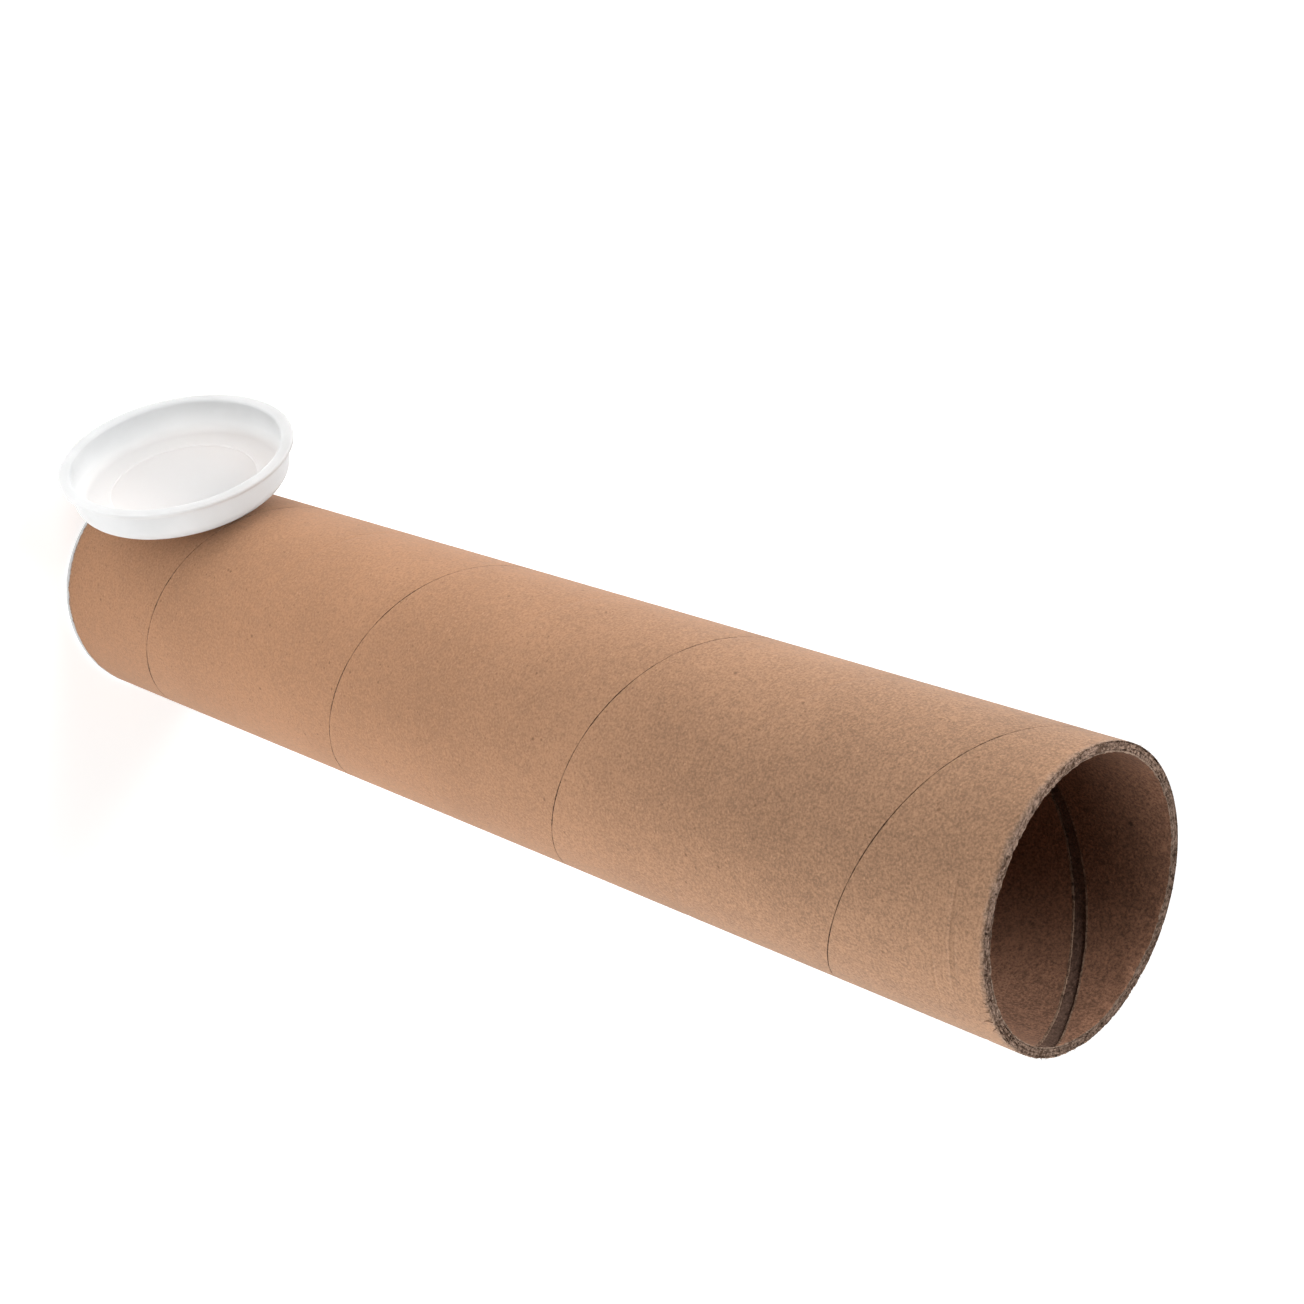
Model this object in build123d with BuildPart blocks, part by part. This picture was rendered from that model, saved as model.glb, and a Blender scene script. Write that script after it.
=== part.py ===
"""A spiral-wound card mailing tube with its two plug caps, in millimetres, +Z up.

The tube stands upright on the cap that closes its lower end. Its mouth is open, and the cap of the
mouth is taken off and leans against the foot of the tube, on the -Y side, with its hollow facing out.
The origin is on the floor, at the centre of the lower cap.
"""

import os
from math import ceil, cos, radians, sin

from build123d import *

# Tube
tube_diameter = 80.0
tube_wall = 3.0
tube_length = 400.0
ply_thickness = 0.5

# Butt seams of the outermost and the innermost ply, left-handed helices of one pitch.
# A seam's width is measured across it, and its height is where it first crosses the +X side,
# above the tube's lower end.
seam_pitch = 102.0
outer_seam_width = 0.4
outer_seam_height = 46.0
inner_seam_width = 3.4
inner_seam_height = 6.8

# Caps: a thin cup that plugs the bore, under a flange as wide as the tube
flange_thickness = 1.5
flange_edge_radius = 0.5
mouth_edge_radius = 0.9
plug_clearance = 0.1
plug_depth = 11.5
plug_wall = 1.2
plug_corner_radius = 4.2
panel_thickness = 1.2
panel_disc_diameter = 50.0
panel_disc_depth = 0.3

# Place of the loose cap: how far it leans back, and the gap that it keeps to the tube
lean_angle = 8.0
lean_gap = 0.3

tube_radius = tube_diameter / 2
bore_radius = tube_radius - tube_wall
lower_end = flange_thickness

flange_radius = tube_radius
plug_radius = bore_radius - plug_clearance
recess_radius = plug_radius - plug_wall
recess_depth = plug_depth - panel_thickness
recess_corner_radius = plug_corner_radius - plug_wall
disc_radius = panel_disc_diameter / 2


def seam_turns(radius, width, height):
    """The groove of one ply's seam on the given radius, turn by turn, past both ends of the tube."""
    turns_below = ceil(height / seam_pitch)
    turns_above = ceil((tube_length - height) / seam_pitch)
    turns = []
    for turn in range(-turns_below, turns_above):
        turn_start = lower_end + height + turn * seam_pitch
        with BuildPart() as groove:
            with BuildLine() as seam:
                Helix(seam_pitch, seam_pitch, radius, center=(0, 0, turn_start), lefthand=True)
            across = Plane(origin=seam.line @ 0, x_dir=(1, 0, 0), z_dir=seam.line % 0)
            with BuildSketch(across):
                Rectangle(2 * ply_thickness, width)
            sweep(path=seam.line, is_frenet=True)
        turns.append(groove.part)
    return turns


def end_cap(seat):
    """A plug cap whose flange lies against the seat plane, with its plug along the plane's z axis."""
    section_plane = Plane(origin=seat.origin, x_dir=seat.x_dir, z_dir=-seat.y_dir)
    corners = (
        (0, plug_depth),
        (plug_radius, plug_depth),
        (plug_radius, 0),
        (flange_radius, 0),
        (flange_radius, -flange_thickness),
        (recess_radius, -flange_thickness),
        (recess_radius, recess_depth),
        (disc_radius, recess_depth),
        (disc_radius, recess_depth + panel_disc_depth),
        (0, recess_depth + panel_disc_depth),
    )
    corner_radii = (
        plug_corner_radius,
        0,
        flange_edge_radius,
        flange_edge_radius,
        mouth_edge_radius,
        recess_corner_radius,
        0,
        0,
    )
    with BuildPart() as cap:
        with BuildSketch(section_plane):
            with BuildLine():
                outline = FilletPolyline(*corners, radius=corner_radii)
                Line(outline @ 1, outline @ 0)
            make_face()
        revolve(axis=Axis(seat.origin, seat.z_dir))
    return cap


# Tube: one wall, grooved along the seams of its outermost and innermost ply
outer_seam = seam_turns(tube_radius, outer_seam_width, outer_seam_height)
inner_seam = seam_turns(bore_radius, inner_seam_width, inner_seam_height)
with BuildPart() as tube:
    with BuildSketch(Plane.XY.offset(lower_end)):
        Circle(tube_radius)
        Circle(bore_radius, mode=Mode.SUBTRACT)
    extrude(amount=tube_length)
    for groove_turn in outer_seam + inner_seam:
        add(groove_turn, mode=Mode.SUBTRACT)

# Lower cap: its flange is on the floor and against the tube's lower end, its plug up the bore
bottom_cap = end_cap(Plane.XY.offset(lower_end))

# Loose cap: the rear edge of its flange is on the floor, and the rounded corner of its plug is the
# lean gap away from the tube's wall
lean = radians(lean_angle)
loose_height = (
    (flange_radius - flange_edge_radius) * cos(lean)
    - flange_edge_radius * sin(lean)
    + flange_edge_radius
)
loose_reach = (
    (plug_radius - plug_corner_radius) * sin(lean)
    + (plug_depth - plug_corner_radius) * cos(lean)
    + plug_corner_radius
)
loose_seat = Plane(
    origin=(0, -(tube_radius + lean_gap + loose_reach), loose_height),
    x_dir=(1, 0, 0),
    z_dir=(0, cos(lean), -sin(lean)),
)
loose_cap = end_cap(loose_seat)

os.makedirs("parts", exist_ok=True)
tube.part.label = "tube"
bottom_cap.part.label = "bottom_cap"
loose_cap.part.label = "loose_cap"
export_step(tube.part, "parts/tube.step")
export_step(bottom_cap.part, "parts/bottom_cap.step")
export_step(loose_cap.part, "parts/loose_cap.step")
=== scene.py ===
"""The looks of a spiral-wound card mailing tube with its two plug caps, in a plain pale studio.

Metres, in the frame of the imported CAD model: the tube stands on its lower cap, +Z up, and the cap of
its mouth leans against its foot on the -Y side.
"""

import math
from types import SimpleNamespace

import bpy
import numpy as np
from mathutils import Matrix, Vector


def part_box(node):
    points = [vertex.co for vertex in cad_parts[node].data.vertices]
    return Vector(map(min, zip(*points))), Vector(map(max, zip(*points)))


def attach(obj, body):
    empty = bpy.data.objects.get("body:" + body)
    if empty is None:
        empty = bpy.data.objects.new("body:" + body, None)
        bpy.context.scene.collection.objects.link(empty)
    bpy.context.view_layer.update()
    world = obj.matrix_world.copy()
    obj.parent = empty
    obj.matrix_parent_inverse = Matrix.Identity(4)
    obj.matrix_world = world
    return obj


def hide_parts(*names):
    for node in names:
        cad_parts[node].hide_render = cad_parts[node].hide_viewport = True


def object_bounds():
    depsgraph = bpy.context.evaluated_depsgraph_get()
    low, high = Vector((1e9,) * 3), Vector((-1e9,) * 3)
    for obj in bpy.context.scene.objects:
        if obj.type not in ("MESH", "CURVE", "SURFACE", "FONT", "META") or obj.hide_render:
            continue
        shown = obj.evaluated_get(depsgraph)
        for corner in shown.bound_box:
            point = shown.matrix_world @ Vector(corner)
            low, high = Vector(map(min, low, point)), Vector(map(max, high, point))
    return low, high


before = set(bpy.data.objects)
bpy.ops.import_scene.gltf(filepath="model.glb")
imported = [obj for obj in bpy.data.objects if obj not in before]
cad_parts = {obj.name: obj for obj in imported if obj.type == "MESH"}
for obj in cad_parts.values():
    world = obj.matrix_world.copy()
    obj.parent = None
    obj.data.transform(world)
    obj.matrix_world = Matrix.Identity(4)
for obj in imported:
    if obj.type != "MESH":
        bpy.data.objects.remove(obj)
cad_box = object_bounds()

MM = 0.001
FULL_TURN = 2 * math.pi
random = np.random.default_rng(7)

# Sizes of the solids that these pieces stand for
TUBE_LOW, TUBE_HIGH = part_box("tube")
TUBE_RADIUS = TUBE_HIGH.x
LOWER_END = TUBE_LOW.z
UPPER_END = TUBE_HIGH.z
TUBE_WALL = 3.0 * MM
BORE_RADIUS = TUBE_RADIUS - TUBE_WALL
PLY_COUNT = 6
PLY = TUBE_WALL / PLY_COUNT

# Seams: left-handed helices; a height is where the seam first crosses the +X side, above the lower end
SEAM_PITCH = 102.0 * MM
OUTER_SEAM_HEIGHT = 46.0 * MM
INNER_SEAM_HEIGHT = 6.8 * MM

# Mesh density
WALL_COLUMNS = 240
RIM_COLUMNS_EACH = 4
RIM_COLUMNS = WALL_COLUMNS * RIM_COLUMNS_EACH
CAP_COLUMNS = 192
OUTER_ROW_SPACING = 8 * MM
INNER_ROW_SPACING = 9 * MM
CAP_RING_SPACING = 4 * MM

# Every piece's map for baking
BAKE_MAP = "OFBake"


# Meshes


class MeshParts:
    """The vertices and faces of one mesh, gathered surface by surface."""

    def __init__(self):
        self.points = []
        self.faces = []
        self.materials = []
        self.uvs = []

    def add_point(self, point):
        self.points.append(point)
        return len(self.points) - 1

    def add_face(self, corners, material, uvs, flip=False):
        """A face of three or four corners. Corners that coincide count once, and two alone make no face."""
        kept = []
        for corner, uv in zip(corners, uvs):
            if corner not in [number for number, _ in kept]:
                kept.append((corner, uv))
        if len(kept) < 3:
            return
        if flip:
            kept.reverse()
        self.faces.append([number for number, _ in kept])
        self.uvs.append([uv for _, uv in kept])
        self.materials.append(material)

    def build(self, name, materials, sharp_angle):
        """The object of this mesh, smooth apart from edges over the sharp angle, in degrees."""
        mesh = bpy.data.meshes.new(name)
        mesh.from_pydata(self.points, [], self.faces)
        for material in materials:
            mesh.materials.append(material)
        mesh.polygons.foreach_set("material_index", self.materials)
        mesh.polygons.foreach_set("use_smooth", [True] * len(self.faces))
        layer = mesh.uv_layers.new(name=BAKE_MAP)
        flat = [value for face in self.uvs for uv in face for value in uv]
        layer.data.foreach_set("uv", flat)
        mesh.update()
        mesh.set_sharp_from_angle(angle=math.radians(sharp_angle))
        piece = bpy.data.objects.new(name, mesh)
        bpy.context.scene.collection.objects.link(piece)
        return piece


def ripple(distance, waves):
    """A smooth uneven line about zero: the sum of waves of (height, length, phase)."""
    return sum(height * math.sin(FULL_TURN * distance / length + phase) for height, length, phase in waves)


def around(radius, angle, height):
    """The point at a radius, an angle and a height about the tube's axis."""
    return (radius * math.cos(angle), radius * math.sin(angle), height)


# Tube

# Material numbers on the tube
OUTSIDE, INSIDE, CUT, TORN, SEAM_FLOOR, GAP_FLOOR = range(6)

# The wall's outside bulges a little, and lies back by more than that to stay inside the CAD model's box
SWELL = 0.02 * MM
SWELL_ROOM = 0.06 * MM

# How far the wall's last loop lies back from the cut end: the saw crushed and rounded the outer edge
OUTER_EDGE_DROP = 1.4 * MM
OUTER_EDGE_INSET = 0.45 * MM
INNER_EDGE_DROP = 0.6 * MM
INNER_EDGE_INSET = 0.25 * MM

# Rings of vertices on a cut end. Those of the rounded edge get rougher towards the cut, those of the cut lie
# at two depths by turns, and one more follows at the inner edge. All stay between the wall's two faces.
EDGE_RINGS = 4
EDGE_SINK = 0.15 * MM
EDGE_ROUGHNESS = 0.03 * MM
EDGE_ROUGHNESS_STEP = 0.04 * MM
CUT_RINGS = 9
CUT_DROPS = (0.12 * MM, 0.23 * MM)
CUT_ROUGHNESS = 0.17 * MM
LAST_RING_INSET = TUBE_WALL - 0.06 * MM
LAST_RING_DROP = 0.26 * MM
LAST_RING_ROUGHNESS = 0.14 * MM
OUTER_FACE_ROOM = 0.05 * MM
INNER_FACE_ROOM = 0.03 * MM

# The tube's map for baking: outside and inside unrolled side by side, the two cut ends as strips above
UV_MARGIN = 0.01
UV_WALL_HEIGHT = 0.80
UV_OUTSIDE = (0.01, 0.49)
UV_INSIDE = (0.51, 0.98)
UV_END_STRIPS = {1: (0.84, 0.90), -1: (0.92, 0.98)}

# Seams of the outermost and the innermost ply: half their width along Z, and their depth. Faces between rows
# that are deeper than the last value are the seam's floor.
OUTER_SEAM_HALF = 0.13 * MM
OUTER_SEAM_DEPTH = 0.30 * MM
INNER_GAP_HALF = 1.856 * MM
INNER_GAP_DEPTH = 0.45 * MM
SEAM_FLOOR_DEPTH = 0.2 * MM

# The outer ply sags a little over the seam of the ply beneath, at this rise from its own seam
SAG_RISE = 48.4 * MM


# A row of vertices follows the seam round the wall. It has its rise from the seam's middle along Z, its
# depth under the wall's face, and whether it belongs to the seam and moves with its uneven width.


def plain_rows(start, stop, spacing):
    """Rows of the plain face, from start to just below stop."""
    count = max(1, round((stop - start) / spacing))
    return [(start + (stop - start) * step / count, 0.0, False) for step in range(count)]


def outer_rows():
    """The rows of one turn of the outside."""
    half = OUTER_SEAM_HALF
    seam = [
        (-3.0 * MM, 0.0, False),
        (-0.9 * MM, 0.0, False),
        (-half - 0.02 * MM, 0.03 * MM, True),
        (-half + 0.03 * MM, OUTER_SEAM_DEPTH, True),
        (half - 0.03 * MM, OUTER_SEAM_DEPTH, True),
        (half + 0.02 * MM, 0.03 * MM, True),
        (0.9 * MM, 0.0, False),
    ]
    sag = [
        (SAG_RISE - 2.5 * MM, 0.0, False),
        (SAG_RISE - 0.9 * MM, 0.03 * MM, False),
        (SAG_RISE, 0.11 * MM, False),
        (SAG_RISE + 0.9 * MM, 0.03 * MM, False),
        (SAG_RISE + 2.5 * MM, 0.0, False),
    ]
    below = plain_rows(3.0 * MM, SAG_RISE - 2.5 * MM, OUTER_ROW_SPACING)
    above = plain_rows(SAG_RISE + OUTER_ROW_SPACING, SEAM_PITCH - 3.0 * MM, OUTER_ROW_SPACING)
    return seam + below + sag + above


def inner_rows():
    """The rows of one turn of the inside, whose seam is a gap with slightly raised lips."""
    half = INNER_GAP_HALF
    seam = [
        (-5.0 * MM, 0.0, False),
        (-3.2 * MM, 0.0, False),
        (-half - 0.55 * MM, 0.0, True),
        (-half - 0.03 * MM, -0.03 * MM, True),
        (-half + 0.05 * MM, INNER_GAP_DEPTH - 0.03 * MM, True),
        (0.0, INNER_GAP_DEPTH, True),
        (half - 0.05 * MM, INNER_GAP_DEPTH - 0.03 * MM, True),
        (half + 0.03 * MM, -0.03 * MM, True),
        (half + 0.55 * MM, 0.0, True),
        (3.2 * MM, 0.0, False),
    ]
    return seam + plain_rows(5.0 * MM, SEAM_PITCH - 5.0 * MM, INNER_ROW_SPACING)


def wall_swell(angle, height):
    """How far the wall bulges: a card tube is never quite round or straight."""
    along = height / UPPER_END
    return SWELL * (
        math.sin(2 * angle + 0.7 + 5.1 * along)
        + math.sin(3 * angle - 1.9 + 8.3 * along)
        + 0.6 * math.sin(5 * angle + 2.4 - 14.0 * along)
    )


def wound_wall(mesh, wall):
    """One face of the wall, in rows that follow its seam. Returns its lower and its upper loop of points."""
    low, high = LOWER_END + wall.edge_drop, UPPER_END - wall.edge_drop
    snap = 0.05 * MM
    seam_start = LOWER_END + wall.seam_height
    first_turn = math.floor((low - seam_start) / SEAM_PITCH) - 1
    last_turn = math.ceil((high - seam_start) / SEAM_PITCH) + 2
    rows_each = len(wall.rows)
    seam_radius = math.hypot(wall.radius, SEAM_PITCH / FULL_TURN)

    def place(angle, turn, row):
        """Radius and height of a row at an angle."""
        rise, depth, of_seam = row
        along_seam = (angle - FULL_TURN * turn) * seam_radius
        if of_seam:
            rise *= 1 + ripple(along_seam, wall.width_waves)
            for nick in wall.nicks:
                near = (along_seam - (nick.angle - FULL_TURN * nick.turn) * seam_radius) / nick.length
                rise *= 1 + nick.widening * math.exp(-near * near)
        height = seam_start + turn * SEAM_PITCH + rise - SEAM_PITCH * angle / FULL_TURN
        return wall.radius - wall.facing * depth, height

    def make_point(angle, radius, height):
        swell = wall_swell(angle, height) - SWELL_ROOM if wall.facing > 0 else 0.0
        return mesh.add_point(around(radius + swell, angle, height))

    turns = range(first_turn, last_turn)
    columns = []
    for column in range(WALL_COLUMNS):
        angle = FULL_TURN * column / WALL_COLUMNS
        rows = [place(angle, turn, row) for turn in turns for row in wall.rows]
        inside = [number for number, (_, height) in enumerate(rows) if low + snap < height < high - snap]
        first, last = inside[0], inside[-1]
        low_point = make_point(angle, rows[first][0], low)
        high_point = make_point(angle, rows[last][0], high)
        kept = [make_point(angle, radius, height) for radius, height in rows[first : last + 1]]
        numbers = [low_point] * first + kept + [high_point] * (len(rows) - last - 1)
        heights = [min(max(height, low), high) for _, height in rows]
        columns.append((numbers, heights))

    uv_left, uv_right = wall.uv_span

    def uv_of(column, height):
        across = uv_left + (uv_right - uv_left) * column / WALL_COLUMNS
        return across, UV_MARGIN + UV_WALL_HEIGHT * (height - LOWER_END) / (UPPER_END - LOWER_END)

    row_count = rows_each * len(turns)
    for column in range(WALL_COLUMNS):
        numbers, heights = columns[column]
        next_numbers, next_heights = columns[(column + 1) % WALL_COLUMNS]
        # Past the last column the rows go on one turn lower
        shift = rows_each if column == WALL_COLUMNS - 1 else 0
        for row in range(row_count - 1):
            beside = max(row - shift, 0)
            beside_above = max(row + 1 - shift, 0)
            corners = (numbers[row], next_numbers[beside], next_numbers[beside_above], numbers[row + 1])
            if corners[0] == corners[3] and corners[1] == corners[2]:
                continue
            uvs = (
                uv_of(column, heights[row]),
                uv_of(column + 1, next_heights[beside]),
                uv_of(column + 1, next_heights[beside_above]),
                uv_of(column, heights[row + 1]),
            )
            material = wall.row_materials[row % rows_each]
            mesh.add_face(corners, material, uvs, flip=wall.facing < 0)
    return [column[0][0] for column in columns], [column[0][-1] for column in columns]


def smooth_noise(count, spread):
    """Random heights about zero around a ring, each about spread columns wide."""
    reach = np.arange(-3 * spread, 3 * spread + 1)
    weights = np.exp(-0.5 * (reach / spread) ** 2)
    values = random.normal(size=count)
    blurred = sum(weight * np.roll(values, int(step)) for step, weight in zip(reach, weights))
    return blurred / math.sqrt((weights**2).sum())


def edge_wear(angle):
    """Share of the full rounding that the outer edge has: the ends are worn most on the +X side."""
    return 0.5 + 0.5 * math.cos(angle)


def worn_inset(inset, wear):
    """Where a ring of the cut lies when the outer edge has only part of its rounding."""
    spared = min(inset, OUTER_EDGE_INSET) * (1 - wear)
    return inset - spared * min(1.0, (TUBE_WALL - inset) / (TUBE_WALL - OUTER_EDGE_INSET))


def end_rings():
    """Rings from the outer face over the rounded edge, across the cut and over the inner edge.

    Each has its inset from the outer face, its drop from the highest fibres of the cut, how rough it is, and
    the material of the faces that follow it.
    """
    rings = []
    for step in range(1, EDGE_RINGS + 1):
        turn = math.pi / 2 * step / (EDGE_RINGS + 1)
        inset = OUTER_EDGE_INSET * (1 - math.cos(turn))
        drop = OUTER_EDGE_DROP * (1 - math.sin(turn))
        roughness = EDGE_ROUGHNESS + EDGE_ROUGHNESS_STEP * step
        rings.append((inset, drop + EDGE_SINK, roughness, OUTSIDE))
    cut_width = TUBE_WALL - OUTER_EDGE_INSET - INNER_EDGE_INSET
    for step in range(CUT_RINGS):
        inset = OUTER_EDGE_INSET + cut_width * step / (CUT_RINGS - 1)
        rings.append((inset, CUT_DROPS[step % 2], CUT_ROUGHNESS, CUT))
    rings.append((LAST_RING_INSET, LAST_RING_DROP, LAST_RING_ROUGHNESS, CUT))
    return rings


def cut_end(mesh, outer_loop, inner_loop, end, side):
    """A saw-cut end of the wall: torn plies in rings. side is 1 at the upper end and -1 at the lower."""
    rings = end_rings()
    wide = smooth_noise(RIM_COLUMNS, 14)
    loops = []
    for inset, drop, roughness, material in rings:
        fine = smooth_noise(RIM_COLUMNS, 1)
        middle = smooth_noise(RIM_COLUMNS, 4)
        sideways = smooth_noise(RIM_COLUMNS, 2)
        loop = []
        for column in range(RIM_COLUMNS):
            angle = FULL_TURN * column / RIM_COLUMNS
            wear = edge_wear(angle)
            uneven = 0.6 * fine[column] + 0.6 * middle[column] + 0.5 * wide[column]
            worn_drop = drop * wear if material == OUTSIDE else drop
            depth = max(worn_drop + roughness * uneven, 0.0)
            across = worn_inset(inset, wear) + 0.5 * roughness * sideways[column]
            across = min(max(across, OUTER_FACE_ROOM), TUBE_WALL - INNER_FACE_ROOM)
            loop.append(mesh.add_point(around(TUBE_RADIUS - across, angle, end - side * depth)))
        loops.append(loop)

    strip_low, strip_high = UV_END_STRIPS[side]

    def uv_of(column, across):
        along = UV_MARGIN + (1 - 2 * UV_MARGIN) * column / RIM_COLUMNS
        return along, strip_low + (strip_high - strip_low) * across

    upside_down = side < 0
    shares = [(number + 1) / (len(rings) + 1) for number in range(len(rings))]
    bands = zip(shares, shares[1:], loops, loops[1:], rings)
    for across, next_across, loop, next_loop, (*_, material) in bands:
        for column in range(RIM_COLUMNS):
            beside = (column + 1) % RIM_COLUMNS
            corners = (loop[column], loop[beside], next_loop[beside], next_loop[column])
            uvs = (
                uv_of(column, across),
                uv_of(column + 1, across),
                uv_of(column + 1, next_across),
                uv_of(column, next_across),
            )
            mesh.add_face(corners, material, uvs, flip=upside_down)

    def join(wall_loop, ring, ring_across, wall_across, material, flip):
        """Triangles between a loop of the wall and the finer first or last ring of the cut."""
        for column in range(WALL_COLUMNS):
            fine = column * RIM_COLUMNS_EACH
            left = (wall_loop[column], uv_of(fine, wall_across))
            right = (wall_loop[(column + 1) % WALL_COLUMNS], uv_of(fine + RIM_COLUMNS_EACH, wall_across))
            tops = [
                (ring[(fine + step) % RIM_COLUMNS], uv_of(fine + step, ring_across))
                for step in range(RIM_COLUMNS_EACH + 1)
            ]
            middle = RIM_COLUMNS_EACH // 2
            triangles = [(left, right, tops[middle])]
            for step in range(RIM_COLUMNS_EACH):
                foot = left if step < middle else right
                triangles.append((foot, tops[step + 1], tops[step]))
            for triangle in triangles:
                corners, uvs = zip(*triangle)
                mesh.add_face(corners, material, uvs, flip=flip)

    join(outer_loop, loops[0], shares[0], 0.0, OUTSIDE, upside_down)
    join(inner_loop, loops[-1], shares[-1], 1.0, INSIDE, not upside_down)


def seam_materials(rows, face_material, floor_material):
    """The material of the faces above each row: the seam's floor, its torn sides, or the wall's face."""
    materials = []
    for (_, depth, of_seam), (_, next_depth, next_of_seam) in zip(rows, rows[1:] + rows[:1]):
        if of_seam and next_of_seam and min(depth, next_depth) > SEAM_FLOOR_DEPTH:
            materials.append(floor_material)
        elif of_seam and next_of_seam:
            materials.append(TORN)
        else:
            materials.append(face_material)
    return materials


def make_tube(materials):
    """The tube: both faces of its wall and both cut ends, as one closed mesh.

    A wave of a seam's width has its height as a share of the width, its length and its phase.
    """
    mesh = MeshParts()
    outer = outer_rows()
    inner = inner_rows()
    # A torn spot in the outer seam near the lower end
    nick = SimpleNamespace(angle=math.radians(6.4), turn=0, length=1.5 * MM, widening=2.2)
    outside = SimpleNamespace(
        radius=TUBE_RADIUS,
        facing=1,
        rows=outer,
        row_materials=seam_materials(outer, OUTSIDE, SEAM_FLOOR),
        seam_height=OUTER_SEAM_HEIGHT,
        width_waves=((0.28, 37 * MM, 0.4), (0.22, 11.3 * MM, 1.9), (0.16, 5.1 * MM, 4.0)),
        nicks=(nick,),
        uv_span=UV_OUTSIDE,
        edge_drop=OUTER_EDGE_DROP,
    )
    inside = SimpleNamespace(
        radius=BORE_RADIUS,
        facing=-1,
        rows=inner,
        row_materials=seam_materials(inner, INSIDE, GAP_FLOOR),
        seam_height=INNER_SEAM_HEIGHT,
        width_waves=((0.05, 61 * MM, 2.2), (0.03, 17 * MM, 0.3), (0.02, 6.3 * MM, 1.1)),
        nicks=(),
        uv_span=UV_INSIDE,
        edge_drop=INNER_EDGE_DROP,
    )
    outer_low, outer_high = wound_wall(mesh, outside)
    inner_low, inner_high = wound_wall(mesh, inside)
    cut_end(mesh, outer_high, inner_high, UPPER_END, 1)
    cut_end(mesh, outer_low, inner_low, LOWER_END, -1)
    return mesh.build("wound_tube", materials, sharp_angle=38)


# Caps

# The caps' section: a cup that plugs the bore, under a flange as wide as the tube
FLANGE_THICKNESS = 1.5 * MM
FLANGE_EDGE = 0.5 * MM
MOUTH_EDGE = 0.9 * MM
PLUG_CLEARANCE = 0.1 * MM
PLUG_RADIUS = BORE_RADIUS - PLUG_CLEARANCE
PLUG_DEPTH = 11.5 * MM
PLUG_WALL = 1.2 * MM
PLUG_CORNER = 4.2 * MM
RECESS_RADIUS = PLUG_RADIUS - PLUG_WALL
PANEL_THICKNESS = 1.2 * MM
RECESS_DEPTH = PLUG_DEPTH - PANEL_THICKNESS
RECESS_CORNER = PLUG_CORNER - PLUG_WALL
DISC_RADIUS = 25.0 * MM
DISC_DEPTH = 0.3 * MM
ROOT_EDGE = 0.25 * MM
STEP_EDGE = 0.15 * MM

# Shares of the section's line where the thin panel ends at the back and where the recess begins, and over
# how much of the line the plastic's painted light changes there: lighter on the thin panel and in the
# recess, darker on the thick parts
PANEL_BACK_STOP = 0.34
PANEL_FADE = 0.03
RECESS_START = 0.55
RECESS_FADE = 0.14

# Place of the loose cap: how far it leans back, and the gap that it keeps to the tube
LEAN = math.radians(8.0)
LEAN_GAP = 0.3 * MM


def rounded_line(corners):
    """Points along a line of (radius, height, rounding) corners, each corner rounded by an arc."""
    points = []
    for number, (x, y, rounding) in enumerate(corners):
        here = Vector((x, y))
        if rounding == 0:
            points.append(here)
            continue
        back = (Vector(corners[number - 1][:2]) - here).normalized()
        ahead = (Vector(corners[number + 1][:2]) - here).normalized()
        half = back.angle(ahead) / 2
        centre = here + (back + ahead).normalized() * rounding / math.sin(half)
        start = here + back * rounding / math.tan(half) - centre
        stop = here + ahead * rounding / math.tan(half) - centre
        steps = 4 if rounding < 1 * MM else 8
        for step in range(steps + 1):
            share = step / steps
            points.append(centre + start.normalized().slerp(stop.normalized(), share) * rounding)
    return points


def spaced(points, spacing):
    """The same line, with points added so that none are further apart than the spacing."""
    result = [points[0]]
    for start, stop in zip(points, points[1:]):
        count = max(1, math.ceil((stop - start).length / spacing))
        result += [start.lerp(stop, step / count) for step in range(1, count + 1)]
    return result


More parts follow.
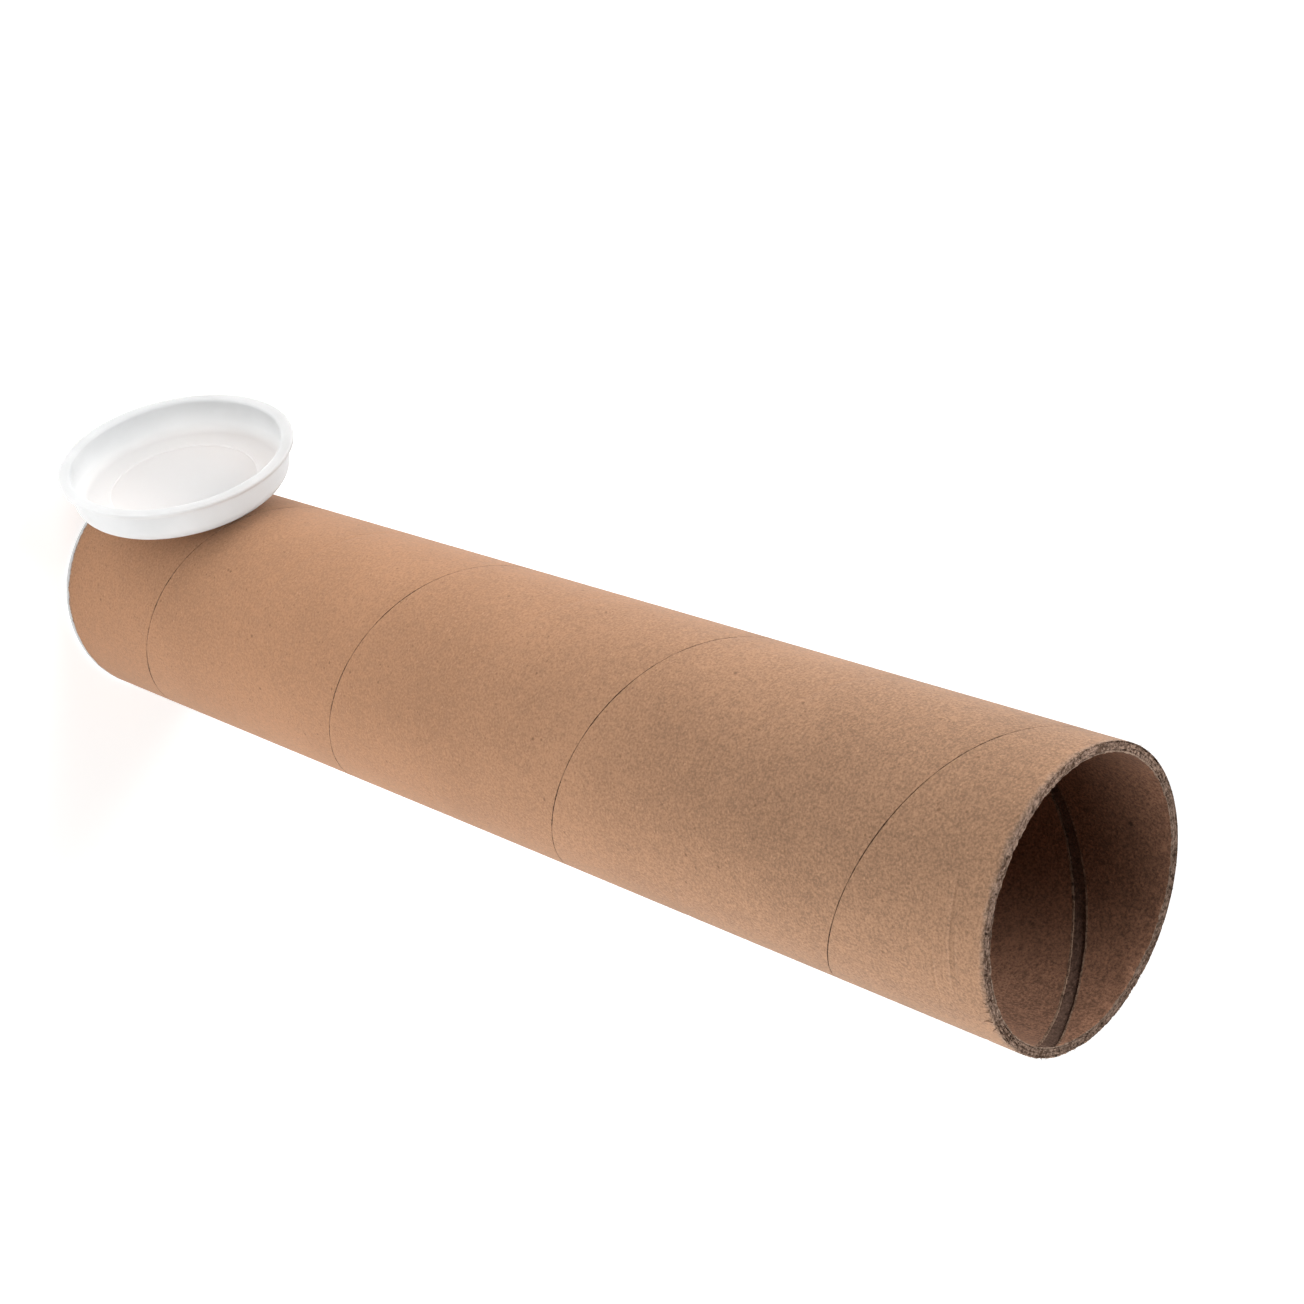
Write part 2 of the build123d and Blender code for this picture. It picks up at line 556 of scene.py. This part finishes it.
def make_cap(name, seat, material):
    """A moulded cap, turned from its section. seat is its frame: the plug goes along the seat's +Z."""
    gate_radius, gate_height, gate_slope = 1.6 * MM, 0.35 * MM, 0.4 * MM
    disc_slope = 0.12 * MM
    section = (
        (0, PLUG_DEPTH + gate_height, 0),
        (gate_radius, PLUG_DEPTH + gate_height, ROOT_EDGE),
        (gate_radius + gate_slope, PLUG_DEPTH, STEP_EDGE),
        (PLUG_RADIUS, PLUG_DEPTH, PLUG_CORNER),
        (PLUG_RADIUS, 0, ROOT_EDGE),
        (TUBE_RADIUS, 0, FLANGE_EDGE),
        (TUBE_RADIUS, -FLANGE_THICKNESS, FLANGE_EDGE),
        (RECESS_RADIUS, -FLANGE_THICKNESS, MOUTH_EDGE),
        (RECESS_RADIUS, RECESS_DEPTH, RECESS_CORNER),
        (DISC_RADIUS + disc_slope, RECESS_DEPTH, STEP_EDGE),
        (DISC_RADIUS - disc_slope, RECESS_DEPTH + DISC_DEPTH, STEP_EDGE),
        (0, RECESS_DEPTH + DISC_DEPTH, 0),
    )
    line = spaced(rounded_line(section), CAP_RING_SPACING)
    mesh = MeshParts()
    lengths = np.cumsum([0.0] + [(stop - start).length for start, stop in zip(line, line[1:])])
    rings = []
    for point in line:
        on_axis = point.x < 1e-6
        ring = []
        for column in range(1 if on_axis else CAP_COLUMNS):
            angle = FULL_TURN * column / CAP_COLUMNS
            ring.append(mesh.add_point(seat @ Vector(around(point.x, angle, point.y))))
        rings.append(ring * CAP_COLUMNS if on_axis else ring)
    for ring, next_ring, start, stop in zip(rings, rings[1:], lengths, lengths[1:]):
        for column in range(CAP_COLUMNS):
            beside = (column + 1) % CAP_COLUMNS
            corners = (ring[column], next_ring[column], next_ring[beside], ring[beside])
            left, right = column / CAP_COLUMNS, (column + 1) / CAP_COLUMNS
            low, high = start / lengths[-1], stop / lengths[-1]
            mesh.add_face(corners, 0, ((left, low), (left, high), (right, high), (right, low)))
    return mesh.build(name, [material], sharp_angle=35)


def loose_seat():
    """Frame of the loose cap: its flange's edge is on the floor, its plug's corner a gap off the tube."""
    height = (
        (TUBE_RADIUS - FLANGE_EDGE) * math.cos(LEAN)
        - FLANGE_EDGE * math.sin(LEAN)
        + FLANGE_EDGE
    )
    reach = (
        (PLUG_RADIUS - PLUG_CORNER) * math.sin(LEAN)
        + (PLUG_DEPTH - PLUG_CORNER) * math.cos(LEAN)
        + PLUG_CORNER
    )
    plug_way = Vector((0, math.cos(LEAN), -math.sin(LEAN)))
    side_way = Vector((1, 0, 0))
    turn = Matrix((side_way, plug_way.cross(side_way), plug_way)).transposed()
    place = Vector((0, -(TUBE_RADIUS + LEAN_GAP + reach), height))
    return Matrix.Translation(place) @ turn.to_4x4()


# Loose fibres of the torn mouth

FIBRE_COUNT = 700

# Where fibres stand in tufts round the mouth, the share of fibres that do, and how wide a tuft spreads
TUFT_ANGLES = [math.radians(angle) for angle in (13.0, 51.0, 178.5, -60.0, 100.0)]
TUFT_SHARE = 0.25
TUFT_SPREAD = 0.07

# Shares of the fibres that grow from the outer edge, apart from the tufts, and that are longer than the rest
OUTER_EDGE_SHARE = 0.6
LONG_SHARE = 0.15
LONG_FACTOR = 1.9

# Longer stray fibres that lie down over the outside: angle round the mouth in degrees, length in mm, and how
# much they go out, round and up
STRAY_FIBRES = (
    (12.5, 3.2, (0.16, 0.42, -0.90)),
    (14.0, 1.8, (0.30, -0.30, -0.85)),
    (8.5, 1.6, (0.25, 0.25, -0.95)),
    (5.0, 1.3, (0.30, -0.50, -0.80)),
    (17.5, 1.5, (0.35, 0.60, -0.70)),
    (-52.5, 1.2, (0.30, 0.40, -0.80)),
)
STRAY_THICKNESS = 0.14 * MM
STRAY_INSET = 0.05 * MM
STRAY_DROP = 0.5 * MM


def add_fibre(mesh, root, way, bend, length, thickness, row, row_height):
    """One bent, tapering fibre, kept inside the CAD model's box, on its own row of the map for baking."""
    sides, steps = 3, 4
    low, high = Vector(cad_box[0]), Vector(cad_box[1])
    across = way.orthogonal().normalized()
    other = way.cross(across)
    loops = []
    for step in range(steps + 1):
        share = step / steps
        centre = root + way * length * share + bend * length * 0.5 * share * share
        taper = thickness * (1 - 0.75 * share)
        loop = []
        for side in range(sides):
            turn = FULL_TURN * side / sides
            corner = centre + (across * math.cos(turn) + other * math.sin(turn)) * taper
            corner = Vector(min(max(value, least), most) for value, least, most in zip(corner, low, high))
            loop.append(mesh.add_point(corner))
        loops.append(loop)
    row_top = row + 0.8 * row_height
    for loop, next_loop in zip(loops, loops[1:]):
        for side in range(sides):
            beside = (side + 1) % sides
            corners = (loop[side], loop[beside], next_loop[beside], next_loop[side])
            left, right = side / sides, (side + 1) / sides
            mesh.add_face(corners, 0, ((left, row), (right, row), (right, row_top), (left, row_top)))
    for loop, flip in ((loops[0], True), (loops[-1], False)):
        mesh.add_face(loop, 0, ((0, row), (0.1, row), (0.1, row + 0.5 * row_height)), flip=flip)


def ways_at(angle):
    """The ways straight out from the tube's axis and round it, at an angle."""
    return Vector((math.cos(angle), math.sin(angle), 0)), Vector((-math.sin(angle), math.cos(angle), 0))


def make_fibres(name, count, material):
    """Hair-thin fibres that stand out of the saw-cut edge of the mouth."""
    mesh = MeshParts()
    row_height = 1 / (count + len(STRAY_FIBRES))
    for number in range(count):
        in_tuft = random.random() < TUFT_SHARE
        angle = random.uniform(0, FULL_TURN)
        if in_tuft:
            angle = random.choice(TUFT_ANGLES) + random.normal(0, TUFT_SPREAD)
        at_outer_edge = in_tuft or random.random() < OUTER_EDGE_SHARE
        inset = random.uniform(0.35, 0.8) if at_outer_edge else random.uniform(0.8, 2.95)
        length = random.uniform(0.5, 1.4) * (LONG_FACTOR if random.random() < LONG_SHARE else 1.0) * MM
        thickness = random.uniform(0.03, 0.075) * MM
        out_way, round_way = ways_at(angle)
        outwards = random.uniform(0.2, 1.0) if at_outer_edge else random.uniform(-0.6, 0.6)
        upwards = random.uniform(-0.8, 0.4) if in_tuft else random.uniform(0.0, 0.5)
        way = out_way * outwards + round_way * random.normal(0, 0.9) + Vector((0, 0, upwards))
        bend = Vector(random.normal(0, 0.5, 3))
        drop = random.uniform(0.1, 0.28) * MM
        root = out_way * (TUBE_RADIUS - inset * MM) + Vector((0, 0, UPPER_END - drop))
        row = number * row_height
        add_fibre(mesh, root, way.normalized(), bend, length, thickness, row, row_height)
    for number, (degrees, length, turns) in enumerate(STRAY_FIBRES, start=count):
        angle = math.radians(degrees)
        outwards, roundwards, upwards = turns
        out_way, round_way = ways_at(angle)
        way = out_way * outwards + round_way * roundwards + Vector((0, 0, upwards))
        bend = out_way * -0.12 + round_way * 0.35
        root = out_way * (TUBE_RADIUS - STRAY_INSET) + Vector((0, 0, UPPER_END - STRAY_DROP))
        row = number * row_height
        add_fibre(mesh, root, way.normalized(), bend, length * MM, STRAY_THICKNESS, row, row_height)
    return mesh.build(name, [material], sharp_angle=60)


# Materials


class Shader:
    """Adds nodes to a material's or world's tree; an input is a value, or another node's output to link."""

    def __init__(self, owner):
        owner.use_nodes = True
        self.tree = owner.node_tree
        self.tree.nodes.clear()

    def add(self, kind, inputs=None, **settings):
        """A new node. Inputs go by name or number."""
        node = self.tree.nodes.new("ShaderNode" + kind)
        for name, value in settings.items():
            setattr(node, name, value)
        for name, value in (inputs or {}).items():
            if isinstance(value, bpy.types.NodeSocket):
                self.tree.links.new(value, node.inputs[name])
            else:
                node.inputs[name].default_value = value
        return node

    def math(self, operation, first, second=0.0, third=0.0, clamp=False):
        node = self.add("Math", {0: first, 1: second, 2: third}, operation=operation, use_clamp=clamp)
        return node.outputs[0]

    def noise(self, place, scale, detail=3.0, roughness=0.55):
        inputs = {"Vector": place, "Scale": scale, "Detail": detail, "Roughness": roughness}
        return self.add("TexNoise", inputs).outputs["Fac"]

    def ramp(self, value, from_low, from_high, to_low=0.0, to_high=1.0):
        """A smooth step from one value to another, as the input goes from its low to its high."""
        inputs = {0: value, 1: from_low, 2: from_high, 3: to_low, 4: to_high}
        return self.add("MapRange", inputs, interpolation_type="SMOOTHSTEP").outputs[0]

    def mix(self, share, first, second):
        """A colour between two. The numbers are those of the node's sockets for colours."""
        return self.add("Mix", {0: share, 6: first, 7: second}, data_type="RGBA").outputs[2]

    def specks(self, place, scale, size, share, stretch=(1, 1, 1)):
        """1 inside sparse round specks: their size in cells, and the share of the cells that have one."""
        moved = self.add("Mapping", {"Vector": place, "Scale": stretch})
        cells = self.add("TexVoronoi", {"Vector": moved.outputs[0], "Scale": scale, "Randomness": 1.0})
        pick = self.add("SeparateColor", {0: cells.outputs["Color"]})
        chosen = self.math("LESS_THAN", pick.outputs[0], share)
        own_size = self.ramp(pick.outputs[1], 0.0, 1.0, size * 0.5, size * 1.2)
        inside = self.math("SUBTRACT", own_size, cells.outputs["Distance"])
        soft = self.math("DIVIDE", inside, size * 0.5, clamp=True)
        return self.math("MULTIPLY", soft, chosen)

    def finish(self, bump_height, bump_strength, bump_distance, **surface):
        """The surface and its bump. Inputs of the surface have underscores for spaces."""
        bump_inputs = {"Height": bump_height, "Strength": bump_strength, "Distance": bump_distance}
        bump = self.add("Bump", bump_inputs)
        inputs = {name.replace("_", " "): value for name, value in surface.items()}
        inputs["Normal"] = bump.outputs[0]
        shader = self.add("BsdfPrincipled", inputs)
        self.add("OutputMaterial", {"Surface": shader.outputs[0]})


def colour(red, green, blue):
    return (red, green, blue, 1.0)


def shade(tint, factor):
    """A tint made darker or lighter by a factor."""
    return (tint[0] * factor, tint[1] * factor, tint[2] * factor, 1.0)


def new_material(name):
    """A material, the shader that adds its nodes, and the place on the piece that its patterns go by."""
    material = bpy.data.materials.new(name)
    shader = Shader(material)
    return material, shader, shader.add("TexCoord").outputs["Object"]


# Height from which the paper's tint and the contrast of its grain change towards the mouth; on the outside
# the tint darkens there, painted shade
TINT_CHANGE_START = LOWER_END + 120 * MM


def kraft_paper(name, lower, upper, fleck, worn=None, creases=(), spots=()):
    """Brown kraft paper: grainy and a little cloudy, with dark flecks and a few pale fibres.

    Its tint and the contrast of its grain go from lower to upper along the tube; where upper is darker, as
    on the outside, that is painted shade. Towards both ends it wears to the tint worn. A crease is a fold
    round part of the tube, and a spot is a dark stain.
    """
    material, shader, place = new_material(name)
    axes = shader.add("SeparateXYZ", {0: place}).outputs
    height = axes[2]
    clouds = shader.noise(place, 22.0, detail=2.0)
    mottle = shader.noise(place, 330.0, detail=3.0, roughness=0.6)
    grain = shader.noise(place, 1350.0, detail=3.0, roughness=0.75)
    tone = shader.math("MULTIPLY", clouds, 0.25)
    tone = shader.math("MULTIPLY_ADD", mottle, 0.26, tone)
    tone = shader.math("ADD", tone, grain)
    tone = shader.ramp(tone, 0.53, 0.98)
    # From here to the mouth the tint goes from lower to upper; on the outside the darker, greyer upper tint
    # is painted shade
    along = shader.ramp(height, TINT_CHANGE_START, UPPER_END)
    dark = shader.mix(along, shade(lower.tint, 1 - lower.contrast), shade(upper.tint, 1 - upper.contrast))
    light = shader.mix(along, shade(lower.tint, 1 + lower.contrast), shade(upper.tint, 1 + upper.contrast))
    base = shader.mix(tone, dark, light)
    flecks = shader.specks(place, 330.0, size=0.18, share=0.08)
    fine_flecks = shader.specks(place, 700.0, size=0.26, share=0.22)
    pale_fibres = shader.specks(place, 620.0, size=0.26, share=0.14, stretch=(1.0, 1.0, 1.6))
    base = shader.mix(shader.math("MULTIPLY", flecks, 0.55), base, fleck)
    base = shader.mix(shader.math("MULTIPLY", fine_flecks, 0.38), base, fleck)
    base = shader.mix(shader.math("MULTIPLY", pale_fibres, 0.55), base, shade(upper.tint, 1.6))
    for spot in spots:
        away = shader.add("VectorMath", {0: place, 1: spot.place}, operation="DISTANCE").outputs["Value"]
        away = shader.math("MULTIPLY_ADD", mottle, spot.size, away)
        stain = shader.ramp(away, spot.size * 0.8, spot.size * 1.6, spot.strength, 0.0)
        base = shader.mix(stain, base, fleck)
    if worn:
        middle = (LOWER_END + UPPER_END) / 2
        from_middle = shader.math("ABSOLUTE", shader.math("SUBTRACT", height, middle))
        uneven = shader.math("MULTIPLY_ADD", mottle, 3.0 * MM, from_middle)
        reach = UPPER_END - middle + 1.5 * MM
        wear = shader.ramp(uneven, reach - 1.9 * MM, reach + 0.2 * MM, 0.0, 0.75)
        worn_tone = shader.mix(shader.ramp(grain, 0.35, 0.65), shade(worn, 0.55), shade(worn, 1.45))
        base = shader.mix(wear, base, worn_tone)
    relief = shader.math("MULTIPLY", shader.math("ADD", mottle, grain), 0.55)
    angle = shader.math("ARCTAN2", axes[1], axes[0])
    for crease in creases:
        fold_height = shader.math("MULTIPLY_ADD", clouds, 2.0 * MM, crease.height - 1.0 * MM)
        off = shader.math("DIVIDE", shader.math("SUBTRACT", height, fold_height), crease.width)
        square = shader.math("MULTIPLY", off, off)
        fold = shader.math("POWER", math.e, shader.math("MULTIPLY", square, -1.0))
        begin = shader.ramp(angle, crease.start, crease.start + 0.2)
        end = shader.ramp(angle, crease.stop - 0.2, crease.stop, 1.0, 0.0)
        fold = shader.math("MULTIPLY", fold, shader.math("MULTIPLY", begin, end))
        relief = shader.math("MULTIPLY_ADD", fold, crease.rise, relief)
    rough = shader.ramp(mottle, 0.3, 0.7, 0.78, 0.92)
    shader.finish(
        bump_height=relief,
        bump_strength=0.30,
        bump_distance=0.4 * MM,
        Base_Color=base,
        Roughness=rough,
        Specular_IOR_Level=0.2,
        Sheen_Weight=0.12,
        Sheen_Roughness=0.4,
    )
    return material


def cut_card(name, pale, deep, line, lip=None, painted_shade_side=None):
    """Torn plies of card: clumps of pale fuzz on a deeper brown, pits, and faint dark lines between layers.

    On the cut ends the innermost ply stands out with the tint lip, and one side of the cut is darkened
    towards the line tint: painted shade.
    """
    material, shader, place = new_material(name)
    axes = shader.add("SeparateXYZ", {0: place})
    flat = shader.add("CombineXYZ", {0: axes.outputs[0], 1: axes.outputs[1]})
    radius = shader.add("VectorMath", {0: flat.outputs[0]}, operation="LENGTH").outputs["Value"]
    fuzz = shader.noise(place, 950.0, detail=4.0, roughness=0.75)
    patches = shader.noise(place, 330.0, detail=3.0, roughness=0.6)
    wander = shader.math("MULTIPLY", patches, 0.9 * MM)
    layers = shader.math("DIVIDE", shader.math("ADD", radius, wander), 2 * PLY)
    between = shader.math("ABSOLUTE", shader.math("SUBTRACT", shader.math("FRACT", layers), 0.5))
    gap = shader.math("MULTIPLY", shader.ramp(between, 0.28, 0.5), shader.ramp(patches, 0.30, 0.55))
    clumps = shader.math("MULTIPLY_ADD", patches, 0.5, fuzz)
    base = shader.mix(shader.ramp(clumps, 0.62, 0.88), deep, pale)
    base = shader.mix(shader.math("MULTIPLY", gap, 0.45), base, line)
    pits = shader.specks(place, 800.0, size=0.42, share=0.25)
    fine_pits = shader.specks(place, 1500.0, size=0.45, share=0.28)
    fluff = shader.specks(place, 1100.0, size=0.40, share=0.22)
    base = shader.mix(shader.math("MULTIPLY", fluff, 0.6), base, shade(pale, 1.35))
    base = shader.mix(shader.math("MULTIPLY", fine_pits, 0.75), base, line)
    base = shader.mix(shader.math("MULTIPLY", pits, 0.9), base, line)
    if lip:
        edge = shader.math("MULTIPLY_ADD", patches, 0.6 * MM, radius)
        share = shader.ramp(edge, BORE_RADIUS + 0.55 * MM, BORE_RADIUS + 0.85 * MM, 0.85, 0.0)
        lip_tone = shader.mix(shader.ramp(fuzz, 0.35, 0.62), shade(lip, 0.5), shade(lip, 1.3))
        base = shader.mix(share, base, lip_tone)
    if painted_shade_side:
        # Painted shade: one side of the cut, round the given angle, gets darker towards the line tint
        side = around(1.0, painted_shade_side.angle, 0.0)
        towards = shader.add("VectorMath", {0: place, 1: side}, operation="DOT_PRODUCT").outputs["Value"]
        share = shader.ramp(towards, -0.2 * TUBE_RADIUS, 0.6 * TUBE_RADIUS, 0.0, painted_shade_side.strength)
        base = shader.mix(share, base, line)
    shader.finish(
        bump_height=shader.math("SUBTRACT", fuzz, shader.math("MULTIPLY", gap, 0.5)),
        bump_strength=0.6,
        bump_distance=0.5 * MM,
        Base_Color=base,
        Roughness=0.95,
        Specular_IOR_Level=0.1,
    )
    return material


def moulded_plastic(name):
    """Milky soft plastic: almost white, a little see-through, with a faint moulded grain. Its thin parts
    have a lighter tint, painted light shining through them, and its thick parts a darker one, painted shade.
    """
    material, shader, place = new_material(name)
    flow = shader.noise(place, 55.0, detail=3.0)
    grain = shader.noise(place, 900.0, detail=2.0)
    # Along the section, from the middle of the plug's end over the flange to the middle of the recess
    along = shader.add("SeparateXYZ", {0: shader.add("UVMap", uv_map=BAKE_MAP).outputs[0]}).outputs[1]
    # Painted light: the thin panel and the recess get a lighter tint, as if lit through the plastic, and the
    # thick flange and wall a darker one, painted shade
    back_painted_glow = shader.ramp(along, PANEL_BACK_STOP - PANEL_FADE, PANEL_BACK_STOP, 1.0, 0.0)
    recess_painted_glow = shader.ramp(along, RECESS_START, RECESS_START + RECESS_FADE)
    thin = shader.math("MAXIMUM", back_painted_glow, recess_painted_glow)
    streaks = shader.ramp(flow, 0.3, 0.7)
    thick_painted_shade_tone = shader.mix(streaks, colour(0.515, 0.522, 0.525), colour(0.555, 0.562, 0.567))
    base = shader.mix(thin, thick_painted_shade_tone, colour(0.756, 0.761, 0.764))
    rough = shader.ramp(grain, 0.3, 0.7, 0.36, 0.48)
    shader.finish(
        bump_height=shader.math("ADD", flow, shader.math("MULTIPLY", grain, 0.06)),
        bump_strength=0.15,
        bump_distance=0.4 * MM,
        Base_Color=base,
        Roughness=rough,
        Specular_IOR_Level=0.4,
        Subsurface_Weight=1.0,
        Subsurface_Radius=(1.0, 1.0, 1.0),
        Subsurface_Scale=6 * MM,
    )
    return material


def floor_material():
    """An even, almost white floor that glows more with the distance, as the photo's background does."""
    material, shader, place = new_material("pale_floor")
    patches = shader.noise(place, 3.0, detail=2.0)
    reach = shader.add("VectorMath", {0: place}, operation="LENGTH").outputs["Value"]
    base = shader.mix(patches, colour(0.90, 0.90, 0.90), colour(0.93, 0.93, 0.93))
    shader.finish(
        bump_height=patches,
        bump_strength=0.02,
        bump_distance=0.5 * MM,
        Base_Color=base,
        Roughness=0.8,
        Specular_IOR_Level=0.1,
        Emission_Color=colour(1.0, 1.0, 1.0),
        Emission_Strength=shader.ramp(reach, 0.3, 1.3, 0.50, 0.86),
    )
    return material


# Studio

# The photograph's camera, fitted to the tube's outline and to both ellipses of its mouth
CAMERA_PLACE = (0.3424, -0.3380, 0.6852)
CAMERA_RIGHT = Vector((-0.6818, 0.2079, 0.7014))
CAMERA_FORWARD = Vector((-0.5502, 0.4863, -0.6789))
CAMERA_LENS = 62.286
CAMERA_SENSOR = 36.0


def make_floor():
    """A square floor under the part."""
    half = 6.0
    mesh = bpy.data.meshes.new("floor")
    corners = [(-half, -half, 0), (half, -half, 0), (half, half, 0), (-half, half, 0)]
    mesh.from_pydata(corners, [], [(0, 1, 2, 3)])
    mesh.materials.append(floor_material())
    floor = bpy.data.objects.new("floor", mesh)
    bpy.context.scene.collection.objects.link(floor)


def make_world(horizon, zenith):
    """Soft light from all round: almost white just over the horizon, dimmer overhead."""
    world = bpy.data.worlds.new("studio")
    bpy.context.scene.world = world
    shader = Shader(world)
    way = shader.add("TexCoord").outputs["Generated"]
    up = shader.add("SeparateXYZ", {0: way}).outputs[2]
    backdrop = shader.ramp(up, 0.08, 0.22, 0.62, 0.0)
    strength = shader.math("ADD", shader.ramp(up, 0.0, 0.7, horizon, zenith), backdrop)
    light = shader.add("Background", {"Color": colour(1.0, 0.995, 0.985), "Strength": strength})
    shader.add("OutputWorld", {"Surface": light.outputs[0]})


def add_panel(name, azimuth, distance, height, size, watts, aim_height):
    """A soft panel light that faces the tube's axis at a height. The camera doesn't see it."""
    lamp = bpy.data.lights.new(name, "AREA")
    lamp.shape = "RECTANGLE"
    lamp.size, lamp.size_y = size
    lamp.energy = watts
    light = bpy.data.objects.new(name, lamp)
    angle = math.radians(azimuth)
    light.location = (distance * math.cos(angle), distance * math.sin(angle), height)
    aim = Vector((0, 0, aim_height)) - light.location
    light.rotation_euler = aim.to_track_quat("-Z", "Y").to_euler()
    light.visible_camera = False
    bpy.context.scene.collection.objects.link(light)


def add_camera():
    """The photograph's view: the tube's mouth comes towards the camera, at the picture's lower right."""
    lens = bpy.data.cameras.new("camera")
    lens.sensor_width = CAMERA_SENSOR
    lens.lens = CAMERA_LENS
    camera = bpy.data.objects.new("camera", lens)
    forward = CAMERA_FORWARD.normalized()
    right = (CAMERA_RIGHT - forward * CAMERA_RIGHT.dot(forward)).normalized()
    up = right.cross(forward)
    turn = Matrix((right, up, -forward)).transposed()
    camera.matrix_world = Matrix.Translation(CAMERA_PLACE) @ turn.to_4x4()
    bpy.context.scene.collection.objects.link(camera)
    bpy.context.scene.camera = camera


# The part


def bore_stain(angle, height, size, strength):
    """A dark stain on the wall of the bore: its angle in degrees, and its height and size in mm."""
    place = around(BORE_RADIUS, math.radians(angle), height * MM)
    return SimpleNamespace(place=place, size=size * MM, strength=strength)


kraft_outside = kraft_paper(
    "kraft_outside",
    # The upper tint is darker and greyer than the lower: painted shade towards the mouth
    lower=SimpleNamespace(tint=(0.40, 0.209, 0.113), contrast=0.17),
    upper=SimpleNamespace(tint=(0.336, 0.192, 0.113), contrast=0.31),
    fleck=colour(0.13, 0.065, 0.035),
    worn=(0.28, 0.195, 0.145),
    creases=(
        SimpleNamespace(height=UPPER_END - 10.3 * MM, width=0.5 * MM, start=-0.75, stop=0.15, rise=2.4),
        SimpleNamespace(height=UPPER_END - 8.6 * MM, width=0.4 * MM, start=-0.45, stop=0.05, rise=-1.6),
        SimpleNamespace(height=UPPER_END - 15.5 * MM, width=0.5 * MM, start=-0.30, stop=0.25, rise=-1.4),
    ),
)
# The inside's tint is darker than the outside's: painted shade of the bore
kraft_inside_painted_shade = kraft_paper(
    "kraft_inside_painted_shade",
    lower=SimpleNamespace(tint=(0.270, 0.137, 0.083), contrast=0.42),
    upper=SimpleNamespace(tint=(0.270, 0.137, 0.083), contrast=0.50),
    fleck=colour(0.05, 0.025, 0.015),
    spots=(
        bore_stain(172.6, 389.5, size=0.9, strength=0.8),
        bore_stain(167.9, 392.8, size=0.5, strength=0.6),
        bore_stain(119.2, 368.0, size=0.8, strength=0.7),
        bore_stain(103.0, 375.7, size=0.6, strength=0.5),
    ),
)
cut_edge = cut_card(
    "cut_card",
    pale=colour(0.43, 0.295, 0.225),
    deep=colour(0.125, 0.076, 0.052),
    line=colour(0.03, 0.019, 0.013),
    lip=(0.34, 0.24, 0.18),
    # Painted shade on the side of the cut at 130 degrees
    painted_shade_side=SimpleNamespace(angle=math.radians(130), strength=0.32),
)
torn_ply = cut_card(
    "torn_ply",
    pale=colour(0.34, 0.225, 0.16),
    deep=colour(0.15, 0.09, 0.06),
    line=colour(0.06, 0.035, 0.023),
)
seam_floor = cut_card(
    "seam_floor",
    pale=colour(0.18, 0.105, 0.065),
    deep=colour(0.08, 0.045, 0.03),
    line=colour(0.05, 0.03, 0.02),
)
gap_floor = cut_card(
    "gap_floor",
    pale=colour(0.20, 0.123, 0.092),
    deep=colour(0.095, 0.057, 0.042),
    line=colour(0.08, 0.048, 0.035),
)
loose_fibre = cut_card(
    "loose_fibre",
    pale=colour(0.22, 0.135, 0.085),
    deep=colour(0.09, 0.05, 0.03),
    line=colour(0.05, 0.028, 0.018),
)
plastic = moulded_plastic("moulded_plastic")

wound_tube = make_tube([kraft_outside, kraft_inside_painted_shade, cut_edge, torn_ply, seam_floor, gap_floor])
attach(wound_tube, "tube")
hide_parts("tube")

mouth_fibres = make_fibres("mouth_fibres", FIBRE_COUNT, loose_fibre)
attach(mouth_fibres, "tube")

seated_cap = make_cap("seated_cap", Matrix.Translation((0, 0, LOWER_END)), plastic)
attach(seated_cap, "caps")
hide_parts("bottom_cap")

leaning_cap = make_cap("leaning_cap", loose_seat(), plastic)
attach(leaning_cap, "caps")
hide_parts("loose_cap")

make_floor()
make_world(horizon=0.36, zenith=0.12)
add_panel("upper_panel", -130, distance=0.7, height=0.12, size=(0.9, 0.5), watts=1.6, aim_height=0.10)
add_panel("lower_panel", 42, distance=0.7, height=0.44, size=(0.9, 0.5), watts=4.6, aim_height=0.38)
add_panel("cap_panel", -95, distance=0.35, height=0.05, size=(0.3, 0.1), watts=0.10, aim_height=0.04)
add_panel("front_panel", -55, distance=0.35, height=0.05, size=(0.3, 0.08), watts=0.14, aim_height=0.08)
add_panel("mouth_panel", -134, distance=0.62, height=1.05, size=(0.6, 0.6), watts=8.6, aim_height=0.40)
add_camera()
bpy.context.scene.view_settings.view_transform = "Standard"

bpy.context.view_layer.update()
